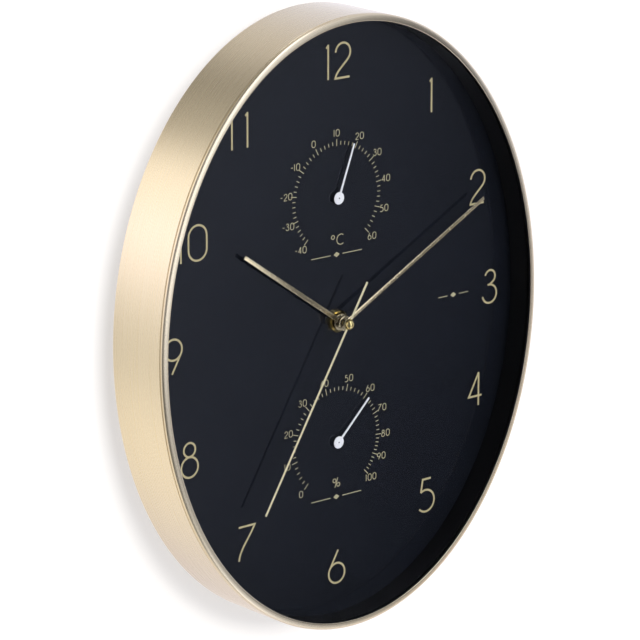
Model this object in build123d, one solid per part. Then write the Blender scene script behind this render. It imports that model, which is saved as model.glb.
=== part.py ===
from build123d import *
from math import atan2, cos, degrees, radians, sin
import os

os.makedirs("parts", exist_ok=True)

# An oval quartz wall clock with a thermometer and a hygrometer let into its dial.
# It is drawn lying on its back, in millimetres: x runs towards 3 o'clock, y towards
# 12 o'clock, and z from the wall to the viewer. Each finished piece is stood upright
# before it is written, so that the dial faces the front and 12 o'clock is on top.

# Case: a brushed metal band with a bead groove and a narrow rounded lip
case_width = 310.0
case_height = 400.0
case_wall = 1.5
lip_width = 4.5
lip_thickness = 1.8
lip_outer_round = 1.2
lip_inner_round = 0.5
groove_drop = 1.9
groove_width = 1.3
groove_depth = 0.6
tab_count = 10
tab_width = 14.0
tab_reach = 6.0
tab_thickness = 1.2

# Glass, black spacer and dial
inner_clearance = 0.5
glass_thickness = 2.0
cap_clearance = 0.2
dial_thickness = 2.0
print_thickness = 0.12

# Hour numerals: centres on an oval, drawn with one even stroke
numeral_side_margin = 19.0
numeral_end_margin = 29.0
numeral_height = 22.4
numeral_stroke = 1.3
# How far some hours are printed off the oval, across and up, and the space between
# the signs of two of them, as shares of the numeral height
numeral_shift_shares = {
    1: (0.11, 0.04), 4: (0.0, 0.05), 5: (0.0, 0.10), 6: (0.01, 0.08), 7: (0.15, 0.08),
    10: (0.21, 0.0), 12: (0.085, 0.07)}
numeral_space_shares = {10: 0.21, 11: 0.49, 12: 0.18}

# Thermometer and hygrometer scales, one above and one below the centre
gauge_place_share = 0.4823
tick_inner_radius = 33.3
major_tick_length = 4.5
minor_tick_inset = 0.6
minor_tick_length = 2.4
tick_stroke = 0.45
label_radius = 41.7
label_height = 4.3
label_stroke = 0.45
unit_drop = 27.5
unit_height = 6.6
unit_stroke = 0.55
rule_drop = 37.0
rule_length = 42.0
rule_stroke = 0.5
lozenge_width = 5.0
lozenge_height = 3.4
side_rule_inset = 32.0
side_rule_length = 26.0

# Readings that the hands and needles show at rest, in degrees clockwise from 12
hour_angle = 305.1
minute_angle = 61.8
second_angle = 211.2
thermometer_angle = 20.7
hygrometer_angle = 45.6

# Back cover and the keyhole plate that hangs the clock
cover_recess = 3.0
cover_plate = 2.0
cover_rim_wall = 2.0
window_clearance = 2.5
window_round = 4.0
window_wall = 1.6
vent_count = 5
vent_length = 24.0
vent_width = 2.4
vent_pitch = 6.0
boss_radius = 3.6
boss_height = 7.0
hanger_width = 46.0
hanger_height = 26.0
hanger_thickness = 1.2
hanger_corner = 4.0
hanger_inset = 48.0
keyhole_entry_radius = 4.5
keyhole_slot_radius = 2.2
keyhole_travel = 9.0
hanger_screw_spacing = 34.0
screw_radius = 1.25
screw_length = 7.5
screw_head_radius = 2.6
screw_head_height = 1.1
screw_slot_width = 0.6
screw_slot_depth = 0.4

# Quartz movement, clamped through the dial by its threaded bush
rear_space = 11.0
battery_radius = 7.1
battery_length = 49.2
battery_nub_radius = 2.7
battery_nub_length = 1.2
battery_headroom = 0.6
battery_side_room = 0.85
contact_thickness = 0.4
contact_bump_reach = 1.2
movement_corner = 3.0
movement_wall = 1.2
movement_split_share = 0.5
washer_thickness = 1.0
washer_radius = 9.0
bush_radius = 4.0
bush_bore = 2.4
collar_radius = 7.25
collar_height = 3.2
collar_rib_count = 24
collar_rib_depth = 0.35
collar_rib_width = 0.7
collar_step = 0.8
mid_plate_thickness = 1.0
post_radius = 1.6
post_inset = 3.4

# Clearances and small common sizes
fit = 0.05
gap = 0.3
pivot_radius = 0.35
pivot_depth = 0.5
overrun = 1.0

# Gear train: modules are set so that each pair shares its centre distance
addendum_share = 0.75
dedendum_share = 1.2
tooth_root_share = 0.26
tooth_tip_share = 0.09
wheel_thickness = 1.0
centre_pair_module = 0.25
rotor_pair_module = 0.25
seconds_pair_module = 0.25
motion_pair_module = 0.3
rotor_pinion_teeth = 8
intermediate_teeth = 40
intermediate_pinion_teeth = 10
seconds_teeth = 60
seconds_pinion_teeth = 8
third_teeth = 60
third_pinion_teeth = 8
centre_teeth = 64
cannon_teeth = 12
minute_wheel_teeth = 36
minute_pinion_teeth = 10
hour_wheel_teeth = 40
intermediate_bearing = 60.0
third_bearing = 150.0
rotor_bearing = 20.0
minute_wheel_bearing = -20.0

# Heights of the gear layers and of the plates above the movement's rear face, as shares
# of the movement's depth
seconds_layer_share = 0.125
intermediate_layer_share = 0.225
third_layer_share = 0.325
centre_layer_share = 0.4375
mid_plate_share = 0.5625
cannon_layer_share = 0.675
hour_layer_share = 0.7875
magnet_low_share = 0.3125
stator_low_share = 0.33125

# Arbors and tubes of the hands
second_arbor_radius = 0.55
minute_bore = 0.7
minute_tube_radius = 1.35
minute_tube_drop = 0.6
minute_flange_radius = 2.0
hour_bore = 1.45
hour_tube_radius = 2.3
small_arbor_radius = 0.45

# Hands, each one rising clear of the one below
hand_clearance = 0.2
hour_to_minute_rise = 3.7
minute_to_second_rise = 3.9
hour_hand_length = 96.0
hour_hand_width = 2.6
hour_boss_radius = 5.4
hour_sleeve_radius = 3.4
minute_hand_length = 134.0
minute_hand_width = 2.4
minute_boss_radius = 4.8
minute_sleeve_radius = 2.6
hand_thickness = 0.6
boss_thickness = 0.5
sleeve_drop = 1.0
second_hand_length = 132.5
second_tail_length = 29.5
second_hand_width = 1.5
second_hand_thickness = 0.4
second_sleeve_radius = 1.5
second_sleeve_drop = 2.4
cap_radius = 3.7
cap_rise = 3.1
cap_skirt = 0.3

# Motor, circuit and battery
rotor_magnet_radius = 2.6
rotor_magnet_height = 1.6
stator_thickness = 1.0
stator_left = 1.5
stator_side_gap = 4.3
stator_hole_margin = 1.0
stator_arm_width = 5.0
stator_top_gap = 2.8
stator_gap = 0.5
yoke_drop = 2.4
yoke_height = 3.0
bobbin_wall = 0.7
bobbin_flange = 1.0
bobbin_flange_height = 7.4
bobbin_flange_depth = 5.8
winding_height = 6.4
winding_depth = 5.0
board_edge_gap = 1.3
board_right = 1.5
board_height = 10.5
board_thickness = 1.0
board_lift = 1.0
chip_radius = 2.8
chip_height = 1.1
crystal_radius = 1.0
crystal_length = 6.2
crystal_inset = 8.5
contact_height = 9.0
contact_width = 11.0
contact_bump_radius = 2.4
contact_tail_height = 2.4
contact_tail_reach = 18.9
knob_radius = 4.6
knob_height = 2.6
knob_rib_count = 18
knob_rib_depth = 0.35

# Gauge capsules behind the dial, with a coiled strip that turns each needle
capsule_radius = 16.0
capsule_wall = 0.8
capsule_depth = 9.0
capsule_flange_radius = 19.0
capsule_vent_count = 6
capsule_vent_radius = 1.6
capsule_vent_ring = 9.5
gauge_arbor_radius = 0.5
gauge_collet_radius = 1.3
gauge_bush_radius = 1.9
gauge_bush_below = 1.2
gauge_bush_above = 0.9
coil_strip = 0.3
coil_height = 3.0
coil_lift = 3.0
coil_inner_radius = 1.7
coil_pitch = 1.9
coil_turns = 6
coil_post_width = 1.6
needle_height = 2.0
needle_hub_radius = 4.0
needle_hub_thickness = 0.8
needle_length = 35.8
needle_width = 1.3
needle_thickness = 0.4

# Sizes and places that follow from the sizes above
movement_size = battery_length + battery_nub_length + 2 * (
    movement_wall + contact_thickness + contact_bump_reach)
movement_depth = 2 * battery_radius + battery_headroom + movement_wall
movement_split = movement_split_share * movement_depth
seconds_layer = seconds_layer_share * movement_depth
intermediate_layer = intermediate_layer_share * movement_depth
third_layer = third_layer_share * movement_depth
centre_layer = centre_layer_share * movement_depth
mid_plate_low = mid_plate_share * movement_depth
cannon_layer = cannon_layer_share * movement_depth
hour_layer = hour_layer_share * movement_depth
rotor_magnet_low = magnet_low_share * movement_depth
stator_low = stator_low_share * movement_depth
room = movement_size - 2 * movement_wall
bay_floor = movement_depth - movement_wall
battery_drop = room / 2 - battery_side_room - battery_radius
bay_edge = battery_drop - battery_radius - battery_side_room
window_size = movement_size + 2 * window_clearance
stator_right = room / 2 - stator_side_gap
stator_top = room / 2 - stator_top_gap
board_left = room / 2 - board_edge_gap
board_high = board_left
board_low = board_high - board_height
hour_hand_height = collar_height + hand_clearance + sleeve_drop
minute_hand_height = hour_hand_height + hour_to_minute_rise
second_hand_height = minute_hand_height + minute_to_second_rise
cap_height = second_hand_height + second_hand_thickness + cap_rise
movement_rear = rear_space
movement_front = movement_rear + movement_depth
dial_back = movement_front + washer_thickness
dial_top = dial_back + dial_thickness
glass_back = dial_top + cap_height + cap_clearance
glass_front = glass_back + glass_thickness
case_depth = glass_front + lip_thickness
cover_front = cover_recess + cover_plate
inner_width = case_width - 2 * case_wall
inner_height = case_height - 2 * case_wall
packed_width = inner_width - 2 * inner_clearance
packed_height = inner_height - 2 * inner_clearance
opening_width = case_width - 2 * lip_width
opening_height = case_height - 2 * lip_width
numeral_across = opening_width / 2 - numeral_side_margin
numeral_up = opening_height / 2 - numeral_end_margin
gauge_offset = gauge_place_share * numeral_up
side_rule_x = numeral_across - side_rule_inset
hanger_lift = packed_height / 2 - hanger_inset

SEATED = (Align.CENTER, Align.CENTER, Align.MIN)


# Basic shapes, each placed by the height of its lower face

def oval(width, height, low, thickness):
    """An oval slab with upright sides."""
    return Pos(0, 0, low) * extrude(Ellipse(width / 2, height / 2), amount=thickness)


def disc(radius, low, thickness, x=0, y=0):
    """A round slab, peg or drill."""
    return Pos(x, y, low) * Cylinder(radius, thickness, align=SEATED)


def slab(width, height, low, thickness, x=0, y=0):
    """A rectangular slab centred on x and y."""
    return Pos(x, y, low) * Box(width, height, thickness, align=SEATED)


def tube(outer, inner, low, thickness, x=0, y=0):
    """A round tube or washer."""
    cut = disc(inner, low - overrun, thickness + 2 * overrun, x, y)
    return disc(outer, low, thickness, x, y) - cut


def rounded_slab(width, height, corner, low, thickness):
    """A rectangular slab with round corners."""
    return Pos(0, 0, low) * extrude(RectangleRounded(width, height, corner), amount=thickness)


def clockwise(shape, angle):
    """Turn a shape clockwise about the clock's centre, as the viewer sees it."""
    return Rot(0, 0, -angle) * shape


def joined(shapes):
    """Fuse a list of shapes into one."""
    whole = shapes[0]
    for shape in shapes[1:]:
        whole = whole + shape
    return whole


def write(name, shape):
    """Stand a finished piece upright and write it to its own file."""
    upright = Rot(90, 0, 0) * shape
    solids = upright.solids()
    piece = solids[0] if len(solids) == 1 else Compound(children=list(solids))
    export_step(piece, "parts/" + name + ".step")


# Case, glass and spacer

def oval_normal(angle):
    """Point and outward direction on the case's inner wall, at an oval angle in degrees."""
    across = inner_width / 2
    up = inner_height / 2
    x = across * cos(radians(angle))
    y = up * sin(radians(angle))
    turn = degrees(atan2(y / up ** 2, x / across ** 2))
    return x, y, turn


def case_ring():
    """The band and lip in one piece, with tabs bent in behind the back cover."""
    body = oval(case_width, case_height, 0, case_depth)
    body -= oval(inner_width, inner_height, -overrun, overrun + glass_front)
    body -= oval(opening_width, opening_height, glass_front - overrun, lip_thickness + 2 * overrun)
    rims = body.faces().sort_by(Axis.Z)[-1].edges().sort_by(SortBy.LENGTH)
    body = fillet(rims[-1], lip_outer_round)
    rims = body.faces().sort_by(Axis.Z)[-1].edges().sort_by(SortBy.LENGTH)
    body = fillet(rims[0], lip_inner_round)
    groove_low = case_depth - groove_drop - groove_width
    outside = oval(case_width + 2 * overrun, case_height + 2 * overrun, groove_low, groove_width)
    floor_width = case_width - 2 * groove_depth
    floor_height = case_height - 2 * groove_depth
    outside -= oval(floor_width, floor_height, groove_low - overrun, groove_width + 2 * overrun)
    body -= outside
    for number in range(tab_count):
        x, y, turn = oval_normal(360 * (number + 0.5) / tab_count)
        tab = Pos(case_wall / 2 - tab_reach / 2, 0, 0) * slab(
            tab_reach, tab_width, cover_recess - tab_thickness, tab_thickness)
        body += Pos(x, y, 0) * Rot(0, 0, turn) * tab
    return body


def front_glass():
    """A flat oval pane that bears on the back of the lip."""
    return oval(packed_width, packed_height, glass_back, glass_thickness)


def spacer_ring():
    """The black wall that holds the glass off the dial, flush with the lip's opening."""
    depth = glass_back - dial_top
    ring = oval(packed_width, packed_height, dial_top, depth)
    return ring - oval(opening_width, opening_height, dial_top - overrun, depth + 2 * overrun)


# Dial and its print

def dial_plate():
    """The flat dial, drilled for the movement's bush and the two gauge bushes."""
    plate = oval(packed_width, packed_height, dial_back, dial_thickness)
    depth = dial_thickness + 2 * overrun
    plate -= disc(bush_radius + gap, dial_back - overrun, depth)
    for side in (1, -1):
        plate -= disc(gauge_bush_radius + fit, dial_back - overrun, depth, 0, side * gauge_offset)
    return plate


# Strokes of each sign in shares of its height, from its lower left corner. An arc is given
# by its centre and its radius.
zero_round_share = 0.32
one_flag_shares = ((-0.075, 0.9), (0.01, 0.975))
two_bowl_share = (0.30, 0.72, 0.27)
two_leg_shares = ((0.406, 0.401), (0.06, 0.22), (0.02, 0.0))
two_base_share = 0.54
three_top_share = (0.29, 0.80, 0.195)
three_waist_share = (0.27, 0.56)
three_stub_share = 0.20
three_low_share = (0.27, 0.285, 0.275)
four_stem_share = 0.38
four_bar_share = 0.295
four_reach_share = 0.50
five_top_shares = ((0.44, 1.0), (0.13, 1.0))
five_bowl_share = (0.246, 0.335, 0.33)
six_bowl_share = (0.31, 0.31, 0.30)
six_join_share = (0.05, 0.46)
six_top_share = (0.362, 1.0)
seven_bar_share = 0.58
seven_leg_shares = ((0.58, 1.0), (0.37, 0.60), (0.04, 0.36), (0.01, 0.0))
eight_top_share = (0.30, 0.802, 0.203)
eight_low_share = (0.30, 0.297, 0.297)
minus_share = 0.34
percent_ring_share = 0.19
percent_drop_share = 0.09
degree_ring_share = 0.19
letter_c_share = 0.5
sign_width_shares = {
    "0": 0.64, "1": 0.06, "2": 0.56, "3": 0.55, "4": 0.50, "5": 0.57, "6": 0.61,
    "7": 0.58, "8": 0.60, "9": 0.61, "-": 0.34, "%": 0.86, "C": 0.62, "o": 0.38}
sign_space_share = 0.30


def at(share, size):
    """A point from its shares of a size."""
    return share[0] * size, share[1] * size


def stroke(curves, width):
    """A raised stroke along curves that run on from one another."""
    return extrude(trace(curves, width), amount=print_thickness)


def ring(share, size, width):
    """A raised circle from its centre and radius, as shares of a size."""
    x, y = at(share, size)
    radius = share[2] * size
    return tube(radius + width / 2, radius - width / 2, 0, print_thickness, x, y)


def sign_zero(size, width):
    turn = zero_round_share * size
    left = Line((0, turn), (0, size - turn))
    top = CenterArc((turn, size - turn), turn, 180, -180)
    right = Line((2 * turn, size - turn), (2 * turn, turn))
    foot = CenterArc((turn, turn), turn, 0, -180)
    return [stroke([left, top, right, foot], width)]


def sign_one(size, width):
    flag = Line(*[at(share, size) for share in one_flag_shares])
    return [stroke([Line((0, 0), (0, size))], width), stroke([flag], width)]


def sign_two(size, width):
    bowl = CenterArc(at(two_bowl_share, size), two_bowl_share[2] * size, 175, -210)
    leg = Bezier(bowl @ 1, *[at(share, size) for share in two_leg_shares])
    base = Line(leg @ 1, (two_base_share * size, 0))
    return [stroke([bowl, leg, base], width)]


def sign_three(size, width):
    waist = at(three_waist_share, size)
    top = CenterArc(at(three_top_share, size), three_top_share[2] * size, 165, -225)
    low = CenterArc(at(three_low_share, size), three_low_share[2] * size, 90, -258)
    stub = Line((three_stub_share * size, waist[1]), low @ 0)
    return [stroke([top, Line(top @ 1, waist)], width), stroke([stub, low], width)]


def sign_four(size, width):
    stem = four_stem_share * size
    bar = four_bar_share * size
    hook = Polyline((stem, size), (0, bar), (four_reach_share * size, bar))
    return [stroke([Line((stem, 0), (stem, size))], width), stroke([hook], width)]


def sign_five(size, width):
    bowl = CenterArc(at(five_bowl_share, size), five_bowl_share[2] * size, 124, -261)
    top = Polyline(*[at(share, size) for share in five_top_shares], bowl @ 0)
    return [stroke([top], width), stroke([bowl], width)]


def sign_six(size, width):
    stem = Line(at(six_top_share, size), at(six_join_share, size))
    return [stroke([stem], width), ring(six_bowl_share, size, width)]


def sign_seven(size, width):
    leg = Bezier(*[at(share, size) for share in seven_leg_shares])
    return [stroke([Line((0, size), (seven_bar_share * size, size)), leg], width)]


def sign_eight(size, width):
    return [ring(eight_top_share, size, width), ring(eight_low_share, size, width)]


def sign_minus(size, width):
    return [stroke([Line((0, size / 2), (minus_share * size, size / 2))], width)]


def sign_percent(size, width):
    turn = percent_ring_share
    reach = sign_width_shares["%"]
    drop = percent_drop_share
    slash = Line(at((reach / 2 - turn, 0), size), at((reach / 2 + turn, 1), size))
    upper = ring((turn, 1 - turn - drop, turn), size, width)
    lower = ring((reach - turn, turn + drop, turn), size, width)
    return [stroke([slash], width), upper, lower]


def sign_letter_c(size, width):
    turn = letter_c_share * size
    return [stroke([CenterArc((turn, turn), turn, 52, 256)], width)]


def sign_degree(size, width):
    turn = degree_ring_share
    return [ring((turn, 1 - turn, turn), size, width)]


sign_makers = {
    "0": sign_zero, "1": sign_one, "2": sign_two, "3": sign_three, "4": sign_four,
    "5": sign_five, "6": sign_six, "7": sign_seven, "8": sign_eight, "-": sign_minus,
    "%": sign_percent, "C": sign_letter_c, "o": sign_degree}


def inked_sign(sign, size, width):
    """One sign as a thin raised print. Nine is six turned upside down."""
    if sign == "9":
        reach = sign_width_shares[sign] * size
        return Pos(reach, size, 0) * Rot(0, 0, 180) * inked_sign("6", size, width)
    return joined(sign_makers[sign](size, width))


def inked_text(text, size, width, x, y, space_share=sign_space_share):
    """A row of signs centred on x and y, raised off the dial as a thin print."""
    space = space_share * size
    reach = sum(sign_width_shares[sign] * size for sign in text) + space * (len(text) - 1)
    left = x - reach / 2
    signs = []
    for sign in text:
        signs += (Pos(left, y - size / 2, dial_top) * inked_sign(sign, size, width)).solids()
        left += sign_width_shares[sign] * size + space
    return signs


def hour_numerals():
    """The twelve hours on an oval that follows the case."""
    signs = []
    for hour in range(1, 13):
        angle = radians(30 * hour)
        reach = 1 / ((sin(angle) / numeral_across) ** 2 + (cos(angle) / numeral_up) ** 2) ** 0.5
        aside, higher = numeral_shift_shares.get(hour, (0, 0))
        x = reach * sin(angle) + aside * numeral_height
        y = reach * cos(angle) + higher * numeral_height
        space_share = numeral_space_shares.get(hour, sign_space_share)
        signs += inked_text(str(hour), numeral_height, numeral_stroke, x, y, space_share)
    return Compound(children=signs)


def tick(angle, radius, length, y):
    """One radial mark of a gauge whose centre is at height y."""
    mark = slab(tick_stroke, length, dial_top, print_thickness, 0, radius + length / 2)
    return Pos(0, y, 0) * clockwise(mark, angle)


def rule(length, x, y):
    """A thin line broken by a lozenge."""
    half = (length - 2 * lozenge_width) / 2
    pieces = []
    for side in (1, -1):
        middle = x + side * (lozenge_width + half / 2)
        pieces.append(slab(half, rule_stroke, dial_top, print_thickness, middle, y))
    corners = [(lozenge_width / 2, 0), (0, lozenge_height / 2)]
    corners += [(-lozenge_width / 2, 0), (0, -lozenge_height / 2)]
    face = make_face(Polyline(*corners, close=True))
    pieces.append(Pos(x, y, dial_top) * extrude(face, amount=print_thickness))
    return pieces


def gauge_scale(labels, label_angles, unit, y):
    """Ticks, numbers, unit and rule of one gauge. Four minor ticks lie between labels."""
    pieces = []
    for number, angle in enumerate(label_angles):
        pieces += tick(angle, tick_inner_radius, major_tick_length, y).solids()
        x = label_radius * sin(radians(angle))
        up = label_radius * cos(radians(angle))
        pieces += inked_text(labels[number], label_height, label_stroke, x, y + up)
        if number + 1 < len(label_angles):
            step = (label_angles[number + 1] - angle) / 5
            for part in range(1, 5):
                start = tick_inner_radius + minor_tick_inset
                pieces += tick(angle + part * step, start, minor_tick_length, y).solids()
    pieces += inked_text(unit, unit_height, unit_stroke, 0, y - unit_drop)
    for piece in rule(rule_length, 0, y - rule_drop):
        pieces += piece.solids()
    return pieces


thermometer_labels = ["-40", "-30", "-20", "-10", "0", "10", "20", "30", "40", "50", "60"]
thermometer_scale_angles = [-135 + 27 * number for number in range(11)]
hygrometer_labels = ["0", "10", "20", "30", "40", "50", "60", "70", "80", "90", "100"]
hygrometer_scale_angles = [-135, -102.5, -72.5, -42.5, -14, 14.5, 43, 68, 93, 114, 135]


def thermometer_scale():
    """The Celsius scale, with the small rule beside 3 o'clock printed in the same pass."""
    pieces = gauge_scale(thermometer_labels, thermometer_scale_angles, "oC", gauge_offset)
    for piece in rule(side_rule_length, side_rule_x, 0):
        pieces += piece.solids()
    return Compound(children=pieces)


def hygrometer_scale():
    """The relative humidity scale, closer set towards the moist end."""
    pieces = gauge_scale(hygrometer_labels, hygrometer_scale_angles, "%", -gauge_offset)
    return Compound(children=pieces)


# Gauge capsules

def capsule_cup(y):
    """A pressed cup glued behind the dial, vented to the air at its back."""
    low = dial_back - capsule_depth
    cup = disc(capsule_radius, low, capsule_depth)
    cup += disc(capsule_flange_radius, dial_back - capsule_wall, capsule_wall)
    inner = capsule_radius - capsule_wall
    cup -= disc(inner, low + capsule_wall, capsule_depth)
    for number in range(capsule_vent_count):
        angle = radians(360 * number / capsule_vent_count)
        x = capsule_vent_ring * cos(angle)
        up = capsule_vent_ring * sin(angle)
        cup -= disc(capsule_vent_radius, low - overrun, capsule_wall + 2 * overrun, x, up)
    cup += disc(gauge_collet_radius, low, 2 * capsule_wall)
    cup -= disc(gauge_arbor_radius + fit, low + capsule_wall / 2 - fit, 2 * capsule_wall)
    end = coil_inner_radius + coil_turns * coil_pitch + coil_strip / 2 + fit
    post = slab(inner + fit - end, coil_post_width, low + capsule_wall, coil_lift + coil_height)
    cup += Pos((inner + fit + end) / 2, 0, 0) * post
    return Pos(0, y, 0) * cup


def gauge_coil(y):
    """A flat strip wound in half circles that grow by half a pitch at each half turn."""
    half = coil_pitch / 2
    curves = []
    for number in range(2 * coil_turns):
        radius = coil_inner_radius + number * half
        if number % 2 == 0:
            curves.append(CenterArc((0, 0), radius, 0, 180))
        else:
            curves.append(CenterArc((half, 0), radius, 180, 180))
    strip = extrude(trace(curves, coil_strip), amount=coil_height)
    low = dial_back - capsule_depth + capsule_wall + coil_lift
    return Pos(0, y, low) * strip


def gauge_bush(y):
    """The brass sleeve in the dial that steadies the needle's arbor."""
    low = dial_back - gauge_bush_below
    length = gauge_bush_below + dial_thickness + gauge_bush_above
    return tube(gauge_bush_radius, gauge_arbor_radius + fit, low, length, 0, y)


def gauge_arbor(y):
    """The needle's arbor, with the collet that the coil's inner end pulls on."""
    low = dial_back - capsule_depth + capsule_wall / 2
    top = dial_top + needle_height + needle_hub_thickness
    arbor = disc(gauge_arbor_radius, low, top - low, 0, y)
    collet_low = dial_back - capsule_depth + 2 * capsule_wall + gap
    collet_length = coil_lift - capsule_wall - gap + coil_height
    return arbor + disc(gauge_collet_radius, collet_low, collet_length, 0, y)


def needle(angle, y):
    """A white needle with a round hub, pressed on the arbor's end."""
    low = dial_top + needle_height
    hub = disc(needle_hub_radius, low, needle_hub_thickness)
    blade_low = low + (needle_hub_thickness - needle_thickness) / 2
    blade = slab(needle_width, needle_length, blade_low, needle_thickness, 0, needle_length / 2)
    blade -= disc(gauge_arbor_radius, blade_low, needle_thickness)
    shape = clockwise(hub + blade, angle)
    shape -= disc(gauge_arbor_radius, low - overrun, needle_hub_thickness + 2 * overrun)
    return Pos(0, y, 0) * shape


# Back cover and hanger

def back_cover():
    """A moulded cover whose rim presses the dial, glass and spacer against the lip."""
    depth = dial_back - cover_recess
    cover = oval(packed_width, packed_height, cover_recess, depth)
    cavity_width = packed_width - 2 * cover_rim_wall
    cavity_height = packed_height - 2 * cover_rim_wall
    cover -= oval(cavity_width, cavity_height, cover_front, depth)
    outer = window_size + 2 * window_wall
    frame_height = movement_rear + overrun - cover_recess
    cover += rounded_slab(outer, outer, window_round + window_wall, cover_recess, frame_height)
    cover -= rounded_slab(
        window_size, window_size, window_round, cover_recess - overrun, frame_height + 2 * overrun)
    for side in (1, -1):
        for number in range(vent_count):
            rise = (number - (vent_count - 1) / 2) * vent_pitch
            slot = SlotOverall(vent_length, vent_width)
            place = Pos(0, side * gauge_offset + rise, cover_recess - overrun)
            cover -= place * extrude(slot, amount=cover_plate + 2 * overrun)
    pocket = hanger_height - 2 * hanger_corner
    cover -= slab(
        2 * keyhole_entry_radius + 2 * hanger_corner, pocket, cover_recess - overrun,
        cover_plate + 2 * overrun, 0, hanger_lift)
    for side in (1, -1):
        x = side * hanger_screw_spacing / 2
        cover += disc(boss_radius, cover_front, boss_height, x, hanger_lift)
        depth = cover_plate + boss_height + 2 * overrun
        cover -= disc(screw_radius + fit, cover_recess - overrun, depth, x, hanger_lift)
    return cover


def hanger_plate():
    """A steel plate with a keyhole: the nail enters low and seats in the upper slot."""
    low = cover_recess - hanger_thickness
    plate = rounded_slab(hanger_width, hanger_height, hanger_corner, low, hanger_thickness)
    depth = hanger_thickness + 2 * overrun
    entry = -keyhole_travel / 2
    plate -= disc(keyhole_entry_radius, low - overrun, depth, 0, entry)
    plate -= disc(keyhole_slot_radius, low - overrun, depth, 0, entry + keyhole_travel)
    plate -= slab(
        2 * keyhole_slot_radius, keyhole_travel, low - overrun, depth, 0, entry + keyhole_travel / 2)
    for side in (1, -1):
        x = side * hanger_screw_spacing / 2
        plate -= disc(screw_radius + fit, low - overrun, depth, x, 0)
    return Pos(0, hanger_lift, 0) * plate


def hanger_screws():
    """Two low-headed screws that hold the plate to the cover's bosses."""
    screws = []
    seat = cover_recess - hanger_thickness
    for side in (1, -1):
        x = side * hanger_screw_spacing / 2
        low = seat - screw_head_height
        screw = disc(screw_head_radius, low, screw_head_height, x, hanger_lift)
        screw += disc(screw_radius, seat, screw_length, x, hanger_lift)
        length = 2 * screw_head_radius + 2 * overrun
        slot_low = low - overrun
        screw -= slab(
            length, screw_slot_width, slot_low, overrun + screw_slot_depth, x, hanger_lift)
        screws += screw.solids()
    return Compound(children=screws)


# Movement: layout of the arbors about the hands' axis

def polar(radius, bearing, x=0, y=0):
    """A point at a distance and bearing from another."""
    return x + radius * cos(radians(bearing)), y + radius * sin(radians(bearing))


def pair_distance(module, teeth, other_teeth):
    """Centre distance of two meshed gears."""
    return module * (teeth + other_teeth) / 2


def mesh_phase(driver_phase, driver_teeth, teeth, bearing):
    """Turn of a gear whose gap meets the driver's tooth along the bearing."""
    slip = (bearing - driver_phase) * driver_teeth / teeth
    return bearing + 180 + 180 / teeth + slip


centre_distance = pair_distance(centre_pair_module, third_pinion_teeth, centre_teeth)
third_module = 2 * centre_distance / (seconds_pinion_teeth + third_teeth)
seconds_distance = pair_distance(seconds_pair_module, intermediate_pinion_teeth, seconds_teeth)
rotor_distance = pair_distance(rotor_pair_module, rotor_pinion_teeth, intermediate_teeth)
motion_distance = pair_distance(motion_pair_module, minute_pinion_teeth, hour_wheel_teeth)
cannon_module = 2 * motion_distance / (cannon_teeth + minute_wheel_teeth)

third_x, third_y = polar(centre_distance, third_bearing)
intermediate_x, intermediate_y = polar(seconds_distance, intermediate_bearing)
rotor_x, rotor_y = polar(rotor_distance, rotor_bearing, intermediate_x, intermediate_y)
minute_wheel_x, minute_wheel_y = polar(motion_distance, minute_wheel_bearing)
knob_x, knob_y = polar(2 * motion_distance, minute_wheel_bearing)

seconds_phase = mesh_phase(0, intermediate_pinion_teeth, seconds_teeth, intermediate_bearing + 180)
rotor_phase = mesh_phase(0, intermediate_teeth, rotor_pinion_teeth, rotor_bearing)
third_phase = mesh_phase(0, seconds_pinion_teeth, third_teeth, third_bearing)
centre_phase = mesh_phase(0, third_pinion_teeth, centre_teeth, third_bearing + 180)
minute_phase = mesh_phase(0, cannon_teeth, minute_wheel_teeth, minute_wheel_bearing)
hour_phase = mesh_phase(0, minute_pinion_teeth, hour_wheel_teeth, minute_wheel_bearing + 180)
knob_phase = mesh_phase(minute_phase, minute_wheel_teeth, cannon_teeth, minute_wheel_bearing)


def level(height):
    """A height above the wall from a height above the movement's rear face."""
    return movement_rear + height


def gear(teeth, module, layer, phase, x=0, y=0):
    """A spur gear with tapered teeth and running backlash, one tooth on its phase angle."""
    pitch_radius = module * teeth / 2
    tip = pitch_radius + addendum_share * module
    root = pitch_radius - dedendum_share * module
    step = 360 / teeth
    corners = []
    for number in range(teeth):
        middle = phase + number * step
        sides = [(-tooth_root_share, root), (-tooth_tip_share, tip)]
        sides += [(tooth_tip_share, tip), (tooth_root_share, root)]
        for share, radius in sides:
            angle = radians(middle + share * step)
            corners.append((radius * cos(angle), radius * sin(angle)))
    face = make_face(Polyline(*corners, close=True))
    return Pos(x, y, level(layer)) * extrude(face, amount=wheel_thickness)


def arbor(radius, low, high, x=0, y=0):
    """A plain arbor between two heights above the movement's rear face."""
    return disc(radius, level(low), high - low, x, y)


def seconds_wheel():
    """The wheel that carries the second hand on a long thin arbor."""
    wheel = gear(seconds_teeth, seconds_pair_module, seconds_layer, seconds_phase)
    wheel += gear(seconds_pinion_teeth, third_module, third_layer, 0)
    low = level(movement_wall - pivot_depth)
    top = dial_top + second_hand_height + second_hand_thickness
    return wheel + disc(second_arbor_radius, low, top - low)


def train_wheel(x, y, gears):
    """A wheel and pinion on an arbor that runs between the rear wall and the mid plate."""
    shape = arbor(
        small_arbor_radius, movement_wall + gap, mid_plate_low - gap, x, y)
    shape += arbor(
        pivot_radius, movement_wall - pivot_depth, mid_plate_low + pivot_depth, x, y)
    return joined([shape] + gears)


def third_wheel():
    """Steps the seconds down towards the centre wheel."""
    gears = [gear(third_teeth, third_module, third_layer, third_phase, third_x, third_y)]
    gears.append(gear(third_pinion_teeth, centre_pair_module, centre_layer, 0, third_x, third_y))
    return train_wheel(third_x, third_y, gears)


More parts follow.
